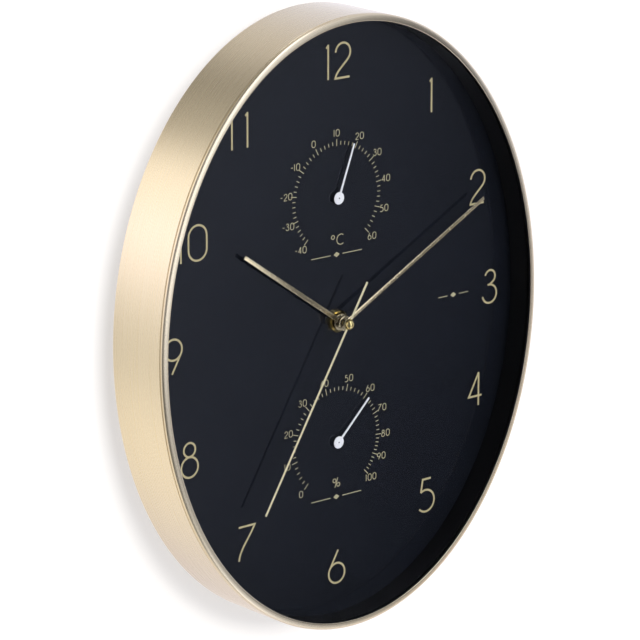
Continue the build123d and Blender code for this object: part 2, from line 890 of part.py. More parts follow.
def intermediate_wheel():
    """Steps the rotor down to the seconds wheel."""
    x = intermediate_x
    y = intermediate_y
    gears = [gear(intermediate_teeth, rotor_pair_module, intermediate_layer, 0, x, y)]
    gears.append(gear(intermediate_pinion_teeth, seconds_pair_module, seconds_layer, 0, x, y))
    return train_wheel(x, y, gears)


def rotor():
    """The stepping magnet and its pinion."""
    magnet_low = rotor_magnet_low
    magnet = arbor(
        rotor_magnet_radius, magnet_low, magnet_low + rotor_magnet_height, rotor_x, rotor_y)
    pinion = gear(
        rotor_pinion_teeth, rotor_pair_module, intermediate_layer, rotor_phase, rotor_x, rotor_y)
    return train_wheel(rotor_x, rotor_y, [magnet, pinion])


def centre_wheel():
    """The driven wheel that grips the minute tube and slips when the hands are set."""
    wheel = gear(centre_teeth, centre_pair_module, centre_layer, centre_phase)
    depth = wheel_thickness + 2 * overrun
    return wheel - disc(minute_tube_radius + fit, level(centre_layer) - overrun, depth)


def minute_tube():
    """The tube that carries the minute hand, with the cannon pinion."""
    tube_low = centre_layer - minute_tube_drop
    low = level(tube_low)
    top = dial_top + minute_hand_height + hand_thickness
    shape = gear(cannon_teeth, cannon_module, cannon_layer, 0)
    shape += disc(minute_tube_radius, low, top - low)
    shape += disc(minute_flange_radius, low, minute_tube_drop - fit)
    return shape - disc(minute_bore, low - overrun, top - low + 2 * overrun)


def minute_wheel():
    """Links the cannon pinion to the hour wheel."""
    x = minute_wheel_x
    y = minute_wheel_y
    wheel = gear(minute_wheel_teeth, cannon_module, cannon_layer, minute_phase, x, y)
    wheel += gear(minute_pinion_teeth, motion_pair_module, hour_layer, 0, x, y)
    low = mid_plate_low + mid_plate_thickness
    high = movement_depth - movement_wall
    wheel += arbor(small_arbor_radius, low + gap, high - gap, x, y)
    return wheel + arbor(pivot_radius, low - pivot_depth, high + pivot_depth, x, y)


def hour_wheel():
    """The hour tube and its wheel, running on the minute tube."""
    wheel = gear(hour_wheel_teeth, motion_pair_module, hour_layer, hour_phase)
    low = level(hour_layer)
    top = dial_top + hour_hand_height + hand_thickness
    wheel += disc(hour_tube_radius, low, top - low)
    return wheel - disc(hour_bore, low - overrun, top - low + 2 * overrun)


def ribbed_disc(radius, low, thickness, ribs, rib_depth, rib_width):
    """A round grip with narrow grooves down its side."""
    shape = disc(radius, low, thickness)
    for number in range(ribs):
        cut = slab(rib_depth * 2, rib_width, low - overrun, thickness + 2 * overrun, radius)
        shape -= clockwise(cut, 360 * number / ribs)
    return shape


def setting_knob():
    """The hand-setting knob behind the movement, on an arbor with its own pinion."""
    knob = ribbed_disc(
        knob_radius, level(-knob_height - gap), knob_height, knob_rib_count, knob_rib_depth,
        collar_rib_width)
    shape = Pos(knob_x, knob_y, 0) * knob
    shape += arbor(small_arbor_radius, -knob_height, cannon_layer, knob_x, knob_y)
    shape += gear(cannon_teeth, cannon_module, cannon_layer, knob_phase, knob_x, knob_y)
    high = movement_depth - movement_wall
    shape += arbor(small_arbor_radius, cannon_layer, high - gap, knob_x, knob_y)
    return shape + arbor(pivot_radius, cannon_layer, high + pivot_depth, knob_x, knob_y)


# Movement: case, plates and electrical pieces

post_place = movement_size / 2 - post_inset
post_places = [(post_place, post_place), (-post_place, post_place)]
post_places += [(post_place, -bay_edge + post_inset), (-post_place, -bay_edge + post_inset)]


def movement_shell(low, high):
    """A rounded square wall between two heights above the movement's rear face."""
    shell = rounded_slab(movement_size, movement_size, movement_corner, level(low), high - low)
    corner = movement_corner - movement_wall
    return shell - rounded_slab(
        room, room, corner, level(low) - overrun, high - low + 2 * overrun)


def front_case():
    """The front half of the movement's case, with the threaded bush and its posts."""
    plate = rounded_slab(
        movement_size, movement_size, movement_corner, level(bay_floor), movement_wall)
    case = plate + movement_shell(movement_split, bay_floor)
    top = dial_top + collar_height
    case += disc(bush_radius, level(bay_floor), top - level(bay_floor))
    case -= disc(bush_bore, level(bay_floor) - overrun, movement_size)
    post_low = mid_plate_low + mid_plate_thickness
    for x, y in post_places:
        case += disc(post_radius, level(post_low), bay_floor - post_low, x, y)
    for x, y in ((minute_wheel_x, minute_wheel_y), (knob_x, knob_y)):
        case -= disc(pivot_radius + fit, level(bay_floor) - overrun, overrun + pivot_depth + fit, x, y)
    return case


def mid_plate():
    """The plate between the going train and the motion work."""
    width = room - 2 * fit
    top = movement_size / 2 - movement_wall - fit
    low = -bay_edge + movement_wall + 2 * fit
    corner = movement_corner - movement_wall
    plate = Pos(0, top - width / 2, 0) * rounded_slab(
        width, width, corner, level(mid_plate_low), mid_plate_thickness)
    plate &= slab(
        width, top - low, level(mid_plate_low), mid_plate_thickness, 0, (top + low) / 2)
    depth = mid_plate_thickness + 2 * overrun
    start = level(mid_plate_low) - overrun
    plate -= disc(minute_tube_radius + fit, start, depth)
    for x, y in ((third_x, third_y), (intermediate_x, intermediate_y), (rotor_x, rotor_y)):
        plate -= disc(pivot_radius + fit, start, depth, x, y)
    plate -= disc(pivot_radius + fit, start, depth, minute_wheel_x, minute_wheel_y)
    plate -= disc(small_arbor_radius + fit, start, depth, knob_x, knob_y)
    return plate


def rear_case():
    """The rear half of the movement's case, open to the battery bay."""
    case = movement_shell(0, movement_split)
    case += rounded_slab(movement_size, movement_size, movement_corner, level(0), movement_wall)
    bay_low = -movement_size / 2 + movement_wall
    bay_height = -bay_edge - bay_low
    case -= slab(
        room, bay_height, level(0) - overrun, movement_wall + 2 * overrun, 0,
        bay_low + bay_height / 2)
    wall_y = -bay_edge + movement_wall / 2
    case += slab(room + fit, movement_wall, level(0), movement_split, 0, wall_y)
    case += slab(room - 2 * fit, movement_wall, level(0), bay_floor, 0, wall_y)
    for x, y in post_places:
        case += disc(post_radius, level(0), mid_plate_low, x, y)
    for x in (stator_left + stator_arm_width / 2, stator_right - stator_arm_width / 2):
        case += disc(post_radius / 2, level(0), stator_low, x, stator_top - post_radius)
    for x in (-board_left + post_radius, -board_right - post_radius):
        case += disc(post_radius / 2, level(0), movement_wall + board_lift, x, board_low + post_radius)
    start = level(movement_wall - pivot_depth - fit)
    for x, y in ((third_x, third_y), (intermediate_x, intermediate_y), (rotor_x, rotor_y)):
        case -= disc(pivot_radius + fit, start, movement_wall, x, y)
    case -= disc(second_arbor_radius + fit, start, movement_wall)
    case -= disc(small_arbor_radius + fit, level(0) - overrun, movement_wall + 2 * overrun, knob_x, knob_y)
    notch = level(contact_tail_low - fit)
    for side in (1, -1):
        x = side * (room / 2 - contact_thickness / 2)
        case -= slab(
            contact_thickness + 2 * fit, movement_wall + 2 * overrun, notch,
            contact_tail_height + 2 * fit, x, wall_y)
    return case


def rubber_washer():
    """A soft washer between the movement and the dial."""
    return tube(washer_radius, bush_radius + gap, movement_front, washer_thickness)


def collar_nut():
    """The round gold nut that clamps the dial to the movement, grooved for grip."""
    body_height = collar_height - collar_step
    nut = ribbed_disc(
        collar_radius, dial_top, body_height, collar_rib_count, collar_rib_depth, collar_rib_width)
    nut += disc(collar_radius - collar_step, dial_top, collar_height)
    return nut - disc(bush_radius + fit, dial_top - overrun, collar_height + 2 * overrun)


def stator():
    """The motor's iron: a plate round the rotor, two arms, and the yoke inside the coil."""
    low = level(stator_low)
    width = stator_right - stator_left
    middle = (stator_right + stator_left) / 2
    half = rotor_magnet_radius + stator_gap + stator_hole_margin
    stator_bottom = rotor_y - half
    iron = slab(width, 2 * half, low, stator_thickness, middle, rotor_y)
    height = stator_top - stator_bottom
    for x in (stator_left + stator_arm_width / 2, stator_right - stator_arm_width / 2):
        iron += slab(
            stator_arm_width, height, low, stator_thickness, x, stator_bottom + height / 2)
    iron += slab(width, yoke_height, low, stator_thickness, middle, stator_top - yoke_drop)
    depth = stator_thickness + 2 * overrun
    iron -= disc(rotor_magnet_radius + stator_gap, low - overrun, depth, rotor_x, rotor_y)
    iron -= disc(
        small_arbor_radius + stator_gap, low - overrun, depth, intermediate_x, intermediate_y)
    return iron


coil_start = stator_left + stator_arm_width + gap
coil_end = stator_right - stator_arm_width - gap
coil_middle = (coil_start + coil_end) / 2
coil_y = stator_top - yoke_drop
coil_level = stator_low + stator_thickness / 2


def long_block(length, height, depth, x):
    """A block about the motor coil's axis, centred on the yoke."""
    low = level(coil_level - depth / 2)
    return slab(length, height, low, depth, x, coil_y)


def coil_bobbin():
    """The plastic former on the yoke."""
    length = coil_end - coil_start
    sleeve_height = yoke_height + 2 * fit + 2 * bobbin_wall
    sleeve_depth = stator_thickness + 2 * fit + 2 * bobbin_wall
    former = long_block(length, sleeve_height, sleeve_depth, coil_middle)
    for x in (coil_start + bobbin_flange / 2, coil_end - bobbin_flange / 2):
        former += long_block(bobbin_flange, bobbin_flange_height, bobbin_flange_depth, x)
    return former - long_block(
        length + 2 * overrun, yoke_height + 2 * fit, stator_thickness + 2 * fit, coil_middle)


def coil_winding():
    """The wound copper wire, as one block round the former."""
    length = coil_end - coil_start - 2 * bobbin_flange - 2 * fit
    sleeve_height = yoke_height + 4 * fit + 2 * bobbin_wall
    sleeve_depth = stator_thickness + 4 * fit + 2 * bobbin_wall
    block = long_block(length, winding_height, winding_depth, coil_middle)
    return block - long_block(length + 2 * overrun, sleeve_height, sleeve_depth, coil_middle)


def circuit_board():
    """The small board with the sealed chip."""
    low = level(movement_wall + board_lift)
    width = board_left - board_right
    height = board_high - board_low
    x = -(board_left + board_right) / 2
    y = (board_high + board_low) / 2
    board = slab(width, height, low, board_thickness, x, y)
    chip_x = -board_left + 2 * chip_radius
    board += disc(chip_radius, low + board_thickness, chip_height, chip_x, y)
    for place_x, place_y in post_places[:2]:
        board -= disc(
            post_radius + fit, low - overrun, board_thickness + 2 * overrun, place_x, place_y)
    return board


def quartz_crystal():
    """The crystal's metal can, lying on the board."""
    low = level(movement_wall + board_lift + board_thickness)
    can = Rot(0, 90, 0) * Cylinder(crystal_radius, crystal_length)
    x = crystal_inset + board_right
    y = (board_high + board_low) / 2
    return Pos(-x, y, low + crystal_radius) * can


battery_level = bay_floor - battery_radius - fit
contact_tail_low = battery_level - contact_tail_height / 2


def battery_cell():
    """The AA cell, with its plus end to the right as seen from the front."""
    can = Rot(0, 90, 0) * Cylinder(battery_radius, battery_length)
    nub = Rot(0, 90, 0) * Cylinder(battery_nub_radius, battery_nub_length)
    reach = battery_length / 2 + battery_nub_length / 2
    cell = Pos(-battery_nub_length / 2, 0, 0) * can
    cell += Pos(reach - battery_nub_length / 2, 0, 0) * nub
    return Pos(0, -battery_drop, level(battery_level)) * cell


def battery_contact(side):
    """A leaf on the bay's end wall, its bump on the cell and its tail in the gear room."""
    wall_x = room / 2 - contact_thickness / 2
    leaf = slab(
        contact_thickness, contact_width, level(battery_level - contact_height / 2),
        contact_height, wall_x, -battery_drop)
    reach = contact_thickness / 2 + contact_bump_reach - fit
    bump = Rot(0, 90, 0) * Cylinder(contact_bump_radius, reach)
    leaf += Pos(wall_x - reach / 2, -battery_drop, level(battery_level)) * bump
    tail_length = battery_drop - bay_edge + contact_tail_reach
    leaf += slab(
        contact_thickness, tail_length, level(contact_tail_low), contact_tail_height, wall_x,
        tail_length / 2 - battery_drop)
    return leaf if side > 0 else mirror(leaf, about=Plane.YZ)


# Hands

def hand(length, width, height, boss_radius_here, sleeve_radius, bore):
    """A flat baton on a round boss, with a sleeve that presses on its tube."""
    low = dial_top + height
    blade = slab(width, length, low, hand_thickness, 0, length / 2)
    blade += disc(boss_radius_here, low, boss_thickness)
    blade += disc(sleeve_radius, low - sleeve_drop, sleeve_drop + hand_thickness)
    return blade - disc(
        bore + fit / 2, low - sleeve_drop - overrun, sleeve_drop + hand_thickness + 2 * overrun)


def hour_hand():
    shape = hand(
        hour_hand_length, hour_hand_width, hour_hand_height, hour_boss_radius,
        hour_sleeve_radius, hour_tube_radius)
    return clockwise(shape, hour_angle)


def minute_hand():
    shape = hand(
        minute_hand_length, minute_hand_width, minute_hand_height, minute_boss_radius,
        minute_sleeve_radius, minute_tube_radius)
    return clockwise(shape, minute_angle)


def second_hand():
    """A thin baton with a short tail, on a sleeve pressed on the seconds arbor."""
    low = dial_top + second_hand_height
    length = second_hand_length + second_tail_length
    middle = (second_hand_length - second_tail_length) / 2
    blade = slab(second_hand_width, length, low, second_hand_thickness, 0, middle)
    blade += disc(cap_radius, low - cap_skirt, cap_skirt + second_hand_thickness)
    blade += disc(second_sleeve_radius, low - second_sleeve_drop, second_sleeve_drop)
    depth = second_sleeve_drop + second_hand_thickness + 2 * overrun
    blade -= disc(second_arbor_radius + fit / 2, low - second_sleeve_drop - overrun, depth)
    return clockwise(blade, second_angle)


def hand_cap():
    """The gold dome that covers the end of the seconds arbor."""
    low = dial_top + second_hand_height + second_hand_thickness
    ball_radius = (cap_radius ** 2 + cap_rise ** 2) / (2 * cap_rise)
    ball = Pos(0, 0, low + cap_rise - ball_radius) * Sphere(ball_radius)
    return ball & disc(cap_radius + overrun, low, cap_rise + overrun)


# Every piece under the name that a repairer would give it
write("case_ring", case_ring())
write("front_glass", front_glass())
write("spacer_ring", spacer_ring())
write("dial_plate", dial_plate())
write("hour_numerals", hour_numerals())
write("thermometer_scale", thermometer_scale())
write("hygrometer_scale", hygrometer_scale())
write("back_cover", back_cover())
write("hanger_plate", hanger_plate())
write("hanger_screws", hanger_screws())

gauges = [("thermometer", gauge_offset, thermometer_angle)]
gauges.append(("hygrometer", -gauge_offset, hygrometer_angle))
for gauge_name, gauge_y, gauge_angle in gauges:
    write(gauge_name + "_cup", capsule_cup(gauge_y))
    write(gauge_name + "_coil", gauge_coil(gauge_y))
    write(gauge_name + "_bush", gauge_bush(gauge_y))
    write(gauge_name + "_arbor", gauge_arbor(gauge_y))
    write(gauge_name + "_needle", needle(gauge_angle, gauge_y))

write("movement_front_case", front_case())
write("movement_mid_plate", mid_plate())
write("movement_rear_case", rear_case())
write("rubber_washer", rubber_washer())
write("collar_nut", collar_nut())
write("rotor", rotor())
write("intermediate_wheel", intermediate_wheel())
write("seconds_wheel", seconds_wheel())
write("third_wheel", third_wheel())
write("centre_wheel", centre_wheel())
write("minute_tube", minute_tube())
write("minute_wheel", minute_wheel())
write("hour_wheel", hour_wheel())
write("setting_knob", setting_knob())
write("stator", stator())
write("coil_bobbin", coil_bobbin())
write("coil_winding", coil_winding())
write("circuit_board", circuit_board())
write("quartz_crystal", quartz_crystal())
write("battery_cell", battery_cell())
write("battery_contact_plus", battery_contact(1))
write("battery_contact_minus", battery_contact(-1))
write("hour_hand", hour_hand())
write("minute_hand", minute_hand())
write("second_hand", second_hand())
write("hand_cap", hand_cap())
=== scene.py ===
import bmesh
import bpy
from math import atan2, cos, pi, radians, sin
from mathutils import Matrix, Vector


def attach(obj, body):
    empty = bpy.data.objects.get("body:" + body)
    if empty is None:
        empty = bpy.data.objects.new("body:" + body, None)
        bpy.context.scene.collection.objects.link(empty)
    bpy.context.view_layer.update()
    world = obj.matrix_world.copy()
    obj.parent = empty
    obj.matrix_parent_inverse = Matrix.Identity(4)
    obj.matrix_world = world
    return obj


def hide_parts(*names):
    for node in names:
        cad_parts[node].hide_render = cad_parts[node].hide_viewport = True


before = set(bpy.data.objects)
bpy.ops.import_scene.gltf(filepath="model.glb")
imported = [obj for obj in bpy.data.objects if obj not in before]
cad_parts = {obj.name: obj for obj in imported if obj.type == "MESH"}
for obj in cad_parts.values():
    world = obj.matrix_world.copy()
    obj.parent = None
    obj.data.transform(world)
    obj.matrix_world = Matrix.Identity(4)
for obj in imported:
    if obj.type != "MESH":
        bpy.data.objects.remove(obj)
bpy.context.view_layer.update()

# The case: one brushed aluminium band, anodised champagne gold, with a fine groove that
# sets off its rounded lip. Ten tabs bent in behind the back cover hold the stack. The lip's
# inner edge, which faces the dial, is coloured black as painted shade.
case_across, case_up = 0.155, 0.200
case_wall = 0.0015
oval_sides = 288
# Each pair is how far in from the oval, and how far out from the wall, a ring of the case lies.
case_profile = [
    (0.0000, 0.0000), (0.0000, 0.0150), (0.0000, 0.0300), (0.0000, 0.0463), (0.0002, 0.0465),
    (0.0005, 0.0466), (0.0005, 0.0472), (0.0001, 0.0473), (0.0000, 0.0476), (0.0001, 0.0481),
    (0.0003, 0.0484), (0.0006, 0.0487), (0.0011, 0.04895), (0.0018, 0.04915), (0.0027, 0.04933),
    (0.0036, 0.04946), (0.0042, 0.0495), (0.00443, 0.04940), (0.0045, 0.0492), (0.0045, 0.0477),
    (0.0015, 0.0477), (0.0015, 0.0000)]
tab_count = 10
tab_reach, tab_width, tab_thickness, tab_face = 0.006, 0.014, 0.0012, 0.003
# Where the painted shade lies on the lip's inner edge: its inset from the oval and its span of
# heights.
painted_shade_inset, painted_shade_back, painted_shade_front = 0.00446, 0.0470, 0.0494


def oval_hoop(bm, across, up, profile):
    """A closed hoop: one oval loop is drawn out ring by ring along a profile of inset and height."""
    made = bmesh.ops.create_circle(bm, segments=oval_sides, radius=1.0,
                                   matrix=Matrix.Rotation(radians(90), 4, "X"))
    ring = made["verts"]
    inset, height = profile[0]
    bmesh.ops.scale(bm, verts=ring, vec=(across - inset, 1.0, up - inset))
    bmesh.ops.translate(bm, verts=ring, vec=(0.0, -height, 0.0))
    first = list({edge for vert in ring for edge in vert.link_edges})
    edges = first
    for next_inset, next_height in profile[1:]:
        drawn = bmesh.ops.extrude_edge_only(bm, edges=edges)["geom"]
        ring = [item for item in drawn if isinstance(item, bmesh.types.BMVert)]
        edges = [item for item in drawn if isinstance(item, bmesh.types.BMEdge)]
        wider = ((across - next_inset) / (across - inset), 1.0, (up - next_inset) / (up - inset))
        bmesh.ops.scale(bm, verts=ring, vec=wider)
        bmesh.ops.translate(bm, verts=ring, vec=(0.0, height - next_height, 0.0))
        inset, height = next_inset, next_height
    bmesh.ops.bridge_loops(bm, edges=first + edges)


def finished(name, bm, finish, body, cad_node, sharp=28.0):
    """A mesh made into a piece: smooth but for its sharp edges, and riding on its body."""
    bmesh.ops.remove_doubles(bm, verts=bm.verts, dist=1e-7)
    bmesh.ops.recalc_face_normals(bm, faces=bm.faces)
    for face in bm.faces:
        face.smooth = True
    for edge in bm.edges:
        edge.smooth = edge.calc_face_angle(pi) < radians(sharp)
    mesh = bpy.data.meshes.new(name)
    bm.to_mesh(mesh)
    bm.free()
    piece = bpy.data.objects.new(name, mesh)
    bpy.context.scene.collection.objects.link(piece)
    mesh.materials.append(finish)
    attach(piece, body)
    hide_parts(cad_node)
    return piece


def new_finish(name, metallic=0.0):
    """A new finish, its nodes and its shader."""
    finish = bpy.data.materials.new(name)
    finish.use_nodes = True
    shader = finish.node_tree.nodes["Principled BSDF"]
    shader.inputs["Metallic"].default_value = metallic
    return finish, finish.node_tree, shader


def arithmetic(tree, operation, first, second=0.0):
    """One step of arithmetic on two sockets or numbers."""
    step = tree.nodes.new("ShaderNodeMath")
    step.operation = operation
    for socket, value in zip(step.inputs, (first, second)):
        if isinstance(value, (int, float)):
            socket.default_value = value
        else:
            tree.links.new(value, socket)
    return step.outputs[0]


def wear(tree, shader, place, scale, detail, colours, roughness, bump=None):
    """Uneven colour, gloss and surface, all from one noise.

    The colours and the roughness run between two ends, and bump is a strength and a height."""
    noise = tree.nodes.new("ShaderNodeTexNoise")
    noise.inputs["Scale"].default_value = scale
    noise.inputs["Detail"].default_value = detail
    tree.links.new(place, noise.inputs["Vector"])
    low, high = 0.3, 0.7
    ramp = tree.nodes.new("ShaderNodeValToRGB")
    for stop, position, colour in zip(ramp.color_ramp.elements, (low, high), colours):
        stop.position = position
        stop.color = (*colour, 1.0)
    tree.links.new(noise.outputs["Fac"], ramp.inputs["Fac"])
    tree.links.new(ramp.outputs["Color"], shader.inputs["Base Color"])
    gloss = tree.nodes.new("ShaderNodeMapRange")
    gloss.inputs["From Min"].default_value = low
    gloss.inputs["From Max"].default_value = high
    gloss.inputs["To Min"].default_value = roughness[0]
    gloss.inputs["To Max"].default_value = roughness[1]
    tree.links.new(noise.outputs["Fac"], gloss.inputs["Value"])
    tree.links.new(gloss.outputs["Result"], shader.inputs["Roughness"])
    if bump:
        relief = tree.nodes.new("ShaderNodeBump")
        relief.inputs["Strength"].default_value = bump[0]
        relief.inputs["Distance"].default_value = bump[1]
        tree.links.new(noise.outputs["Fac"], relief.inputs["Height"])
        tree.links.new(relief.outputs["Normal"], shader.inputs["Normal"])


def object_place(tree):
    """Where a point lies in the object's own coordinates."""
    return tree.nodes.new("ShaderNodeTexCoord").outputs["Object"]


def worn_finish(name, metallic, scale, detail, colours, roughness, bump, specular=0.5):
    """A finish with nothing but its wear, laid in the object's own coordinates."""
    finish, tree, shader = new_finish(name, metallic)
    shader.inputs["Specular IOR Level"].default_value = specular
    wear(tree, shader, object_place(tree), scale, detail, colours, roughness, bump)
    return finish


brushed_gold, tree, shader = new_finish("brushed_champagne_gold", metallic=1.0)
shader.inputs["Anisotropic"].default_value = 0.75
shader.inputs["Anisotropic Rotation"].default_value = 0.25
hoop_way = tree.nodes.new("ShaderNodeTangent")
hoop_way.direction_type = "RADIAL"
hoop_way.axis = "Y"
tree.links.new(hoop_way.outputs["Tangent"], shader.inputs["Tangent"])
apart = tree.nodes.new("ShaderNodeSeparateXYZ")
tree.links.new(object_place(tree), apart.inputs[0])
across_way, depth_way, up_way = apart.outputs
oval_x = arithmetic(tree, "MULTIPLY", across_way, 1.0 / case_across)
oval_z = arithmetic(tree, "MULTIPLY", up_way, 1.0 / case_up)
oval_reach = arithmetic(tree, "SQRT", arithmetic(
    tree, "ADD", arithmetic(tree, "MULTIPLY", oval_x, oval_x),
    arithmetic(tree, "MULTIPLY", oval_z, oval_z)))
# The brushing runs round the band: fine across its depth and the lip, long round the oval.
brushed_depth, brushed_lip, brushed_round = 900.0, 500.0, 1.3
brush_lines = tree.nodes.new("ShaderNodeCombineXYZ")
tree.links.new(arithmetic(tree, "MULTIPLY", oval_x, brushed_round), brush_lines.inputs[0])
tree.links.new(arithmetic(tree, "ADD", arithmetic(tree, "MULTIPLY", depth_way, brushed_depth),
                          arithmetic(tree, "MULTIPLY", oval_reach, brushed_lip)),
               brush_lines.inputs[1])
tree.links.new(arithmetic(tree, "MULTIPLY", oval_z, brushed_round), brush_lines.inputs[2])
wear(tree, shader, brush_lines.outputs[0], scale=2.0, detail=8.0,
     colours=((0.74, 0.615, 0.41), (0.79, 0.668, 0.465)), roughness=(0.24, 0.31),
     bump=(0.16, 0.00003))

bm = bmesh.new()
oval_hoop(bm, case_across, case_up, case_profile)
inner_across, inner_up = case_across - case_wall, case_up - case_wall
for number in range(tab_count):
    turn = radians(360.0 / tab_count * (number + 0.5))
    x, z = inner_across * cos(turn), inner_up * sin(turn)
    outward = atan2(z / inner_up ** 2, x / inner_across ** 2)
    tab = bmesh.ops.create_cube(bm, size=1.0)["verts"]
    bmesh.ops.scale(bm, verts=tab, vec=(tab_reach, tab_thickness, tab_width))
    bmesh.ops.translate(bm, verts=tab, vec=(case_wall / 2 - tab_reach / 2, 0.0, 0.0))
    bmesh.ops.rotate(bm, verts=tab, cent=(0.0, 0.0, 0.0), matrix=Matrix.Rotation(-outward, 3, "Y"))
    bmesh.ops.translate(bm, verts=tab, vec=(x, tab_thickness / 2 - tab_face, z))
case_band = finished("case_band", bm, brushed_gold, "clock", "case_ring", sharp=25.0)
# Painted shade: a near-black finish on the lip's inner edge, which faces the dial, stands for the
# shade there.
painted_shade_inside = worn_finish(
    "painted_shade_inside", metallic=0.0, scale=900.0, detail=3.0,
    colours=((0.004, 0.004, 0.0045), (0.007, 0.007, 0.008)), roughness=(0.45, 0.6),
    bump=(0.15, 0.0001), specular=0.1)
case_band.data.materials.append(painted_shade_inside)
for face in case_band.data.polygons:
    x, y, z = face.center
    within = ((x / (case_across - painted_shade_inset)) ** 2
              + (z / (case_up - painted_shade_inset)) ** 2) < 1.0
    if within and -painted_shade_front < y < -painted_shade_back:
        face.material_index = 1

# The front glass: a flat pane, 2 mm thick, ground to the oval. It lies against the back of
# the lip, where the spacer presses it. It mirrors little and casts no shadow on the dial.
clear_glass, tree, shader = new_finish("clear_float_glass")
shader.inputs["Base Color"].default_value = (1.0, 1.0, 1.0, 1.0)
shader.inputs["Transmission Weight"].default_value = 1.0
shader.inputs["IOR"].default_value = 1.12
wipe = tree.nodes.new("ShaderNodeTexNoise")
wipe.inputs["Scale"].default_value = 9.0
wipe.inputs["Detail"].default_value = 4.0
tree.links.new(object_place(tree), wipe.inputs["Vector"])
film = tree.nodes.new("ShaderNodeMapRange")
film.inputs["To Max"].default_value = 0.006
tree.links.new(wipe.outputs["Fac"], film.inputs["Value"])
tree.links.new(film.outputs["Result"], shader.inputs["Roughness"])
let_through = tree.nodes.new("ShaderNodeBsdfTransparent")
rays = tree.nodes.new("ShaderNodeLightPath")
pane = tree.nodes.new("ShaderNodeMixShader")
tree.links.new(rays.outputs["Is Shadow Ray"], pane.inputs[0])
tree.links.new(shader.outputs[0], pane.inputs[1])
tree.links.new(let_through.outputs[0], pane.inputs[2])
tree.links.new(pane.outputs[0], tree.nodes["Material Output"].inputs["Surface"])


def clothe(name, finish):
    """Gives a finish to a node that keeps its own solid."""
    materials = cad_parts[name].data.materials
    materials.clear()
    materials.append(finish)


clothe("front_glass", clear_glass)

# The spacer: a black moulded hoop behind the glass. Its inner wall stands flush with the
# lip's opening and shows as the dark depth round the dial.
spacer_inset, spacer_opening, spacer_back, spacer_front = 0.0020, 0.0045, 0.0300, 0.0457
spacer_black = worn_finish(
    "black_spacer", metallic=0.0, scale=900.0, detail=3.0,
    colours=((0.0045, 0.0045, 0.0047), (0.0065, 0.0065, 0.0068)), roughness=(0.4, 0.55),
    bump=(0.15, 0.0001), specular=0.1)
bm = bmesh.new()
oval_hoop(bm, case_across, case_up,
          [(spacer_inset, spacer_back), (spacer_inset, spacer_front),
           (spacer_opening, spacer_front), (spacer_opening, spacer_back)])
finished("spacer_hoop", bm, spacer_black, "clock", "spacer_ring")

# The dial: a flat board sprayed blue-black and lacquered to a smooth gloss, drilled for the
# movement and for the two gauges. It rests on the back cover's rim.
dial_gloss, tree, shader = new_finish("blue_black_lacquer")
shader.inputs["Coat Weight"].default_value = 1.0
shader.inputs["Coat Roughness"].default_value = 0.12
shader.inputs["Coat IOR"].default_value = 1.6
wear(tree, shader, object_place(tree), scale=14.0, detail=6.0,
     colours=((0.0035, 0.0042, 0.0060), (0.0044, 0.0052, 0.0074)), roughness=(0.07, 0.09))
clothe("dial_plate", dial_gloss)

# The print: hour numerals, gauge scales and thin rules, screened on the dial in a pale
# gold ink that carries a fine metal powder. The scales' ink is a little paler.
gold_ink = worn_finish(
    "pale_gold_ink", metallic=0.35, scale=2500.0, detail=2.0,
    colours=((0.44, 0.37, 0.185), (0.54, 0.46, 0.25)), roughness=(0.35, 0.55),
    bump=(0.1, 0.00005))
clothe("hour_numerals", gold_ink)
scale_ink = worn_finish(
    "pale_scale_ink", metallic=0.2, scale=2500.0, detail=2.0,
    colours=((0.35, 0.31, 0.17), (0.45, 0.405, 0.24)), roughness=(0.4, 0.6),
    bump=(0.1, 0.00005))
for name in ("thermometer_scale", "hygrometer_scale"):
    clothe(name, scale_ink)

# The gauge needles: thin stamped aluminium painted white, each on a round hub that is
# pressed on its arbor's end.
dial_face = 0.030
gauge_rise = 0.0803
needle_reach, needle_root, needle_tip = 0.0358, 0.0015, 0.0012
needle_back, needle_front = dial_face + 0.0022, dial_face + 0.0026
hub_across, hub_back, hub_front = 0.008, dial_face + 0.0020, dial_face + 0.0027
needle_white = worn_finish(
    "white_needle_paint", metallic=0.0, scale=1200.0, detail=2.0,
    colours=((0.62, 0.62, 0.615), (0.70, 0.70, 0.695)), roughness=(0.5, 0.6),
    bump=(0.05, 0.00005))


def round_bar(bm, across, back, front, z=0.0):
    """A round boss or disc between two heights above the wall."""
    stand = Matrix.Translation((0.0, -(back + front) / 2, z)) @ Matrix.Rotation(radians(90), 4, "X")
    made = bmesh.ops.create_cone(bm, cap_ends=True, segments=48, radius1=across / 2,
                                 radius2=across / 2, depth=front - back, matrix=stand)
    return made["verts"]


def rounded(bm, verts, width):
    """Breaks the sharp edges of some of a mesh."""
    edges = [edge for edge in {edge for vert in verts for edge in vert.link_edges}
             if edge.calc_face_angle(0.0) > radians(35)]
    bmesh.ops.bevel(bm, geom=edges, offset=width, offset_type="OFFSET", segments=2,
                    profile=0.5, affect="EDGES", clamp_overlap=True, material=-1)


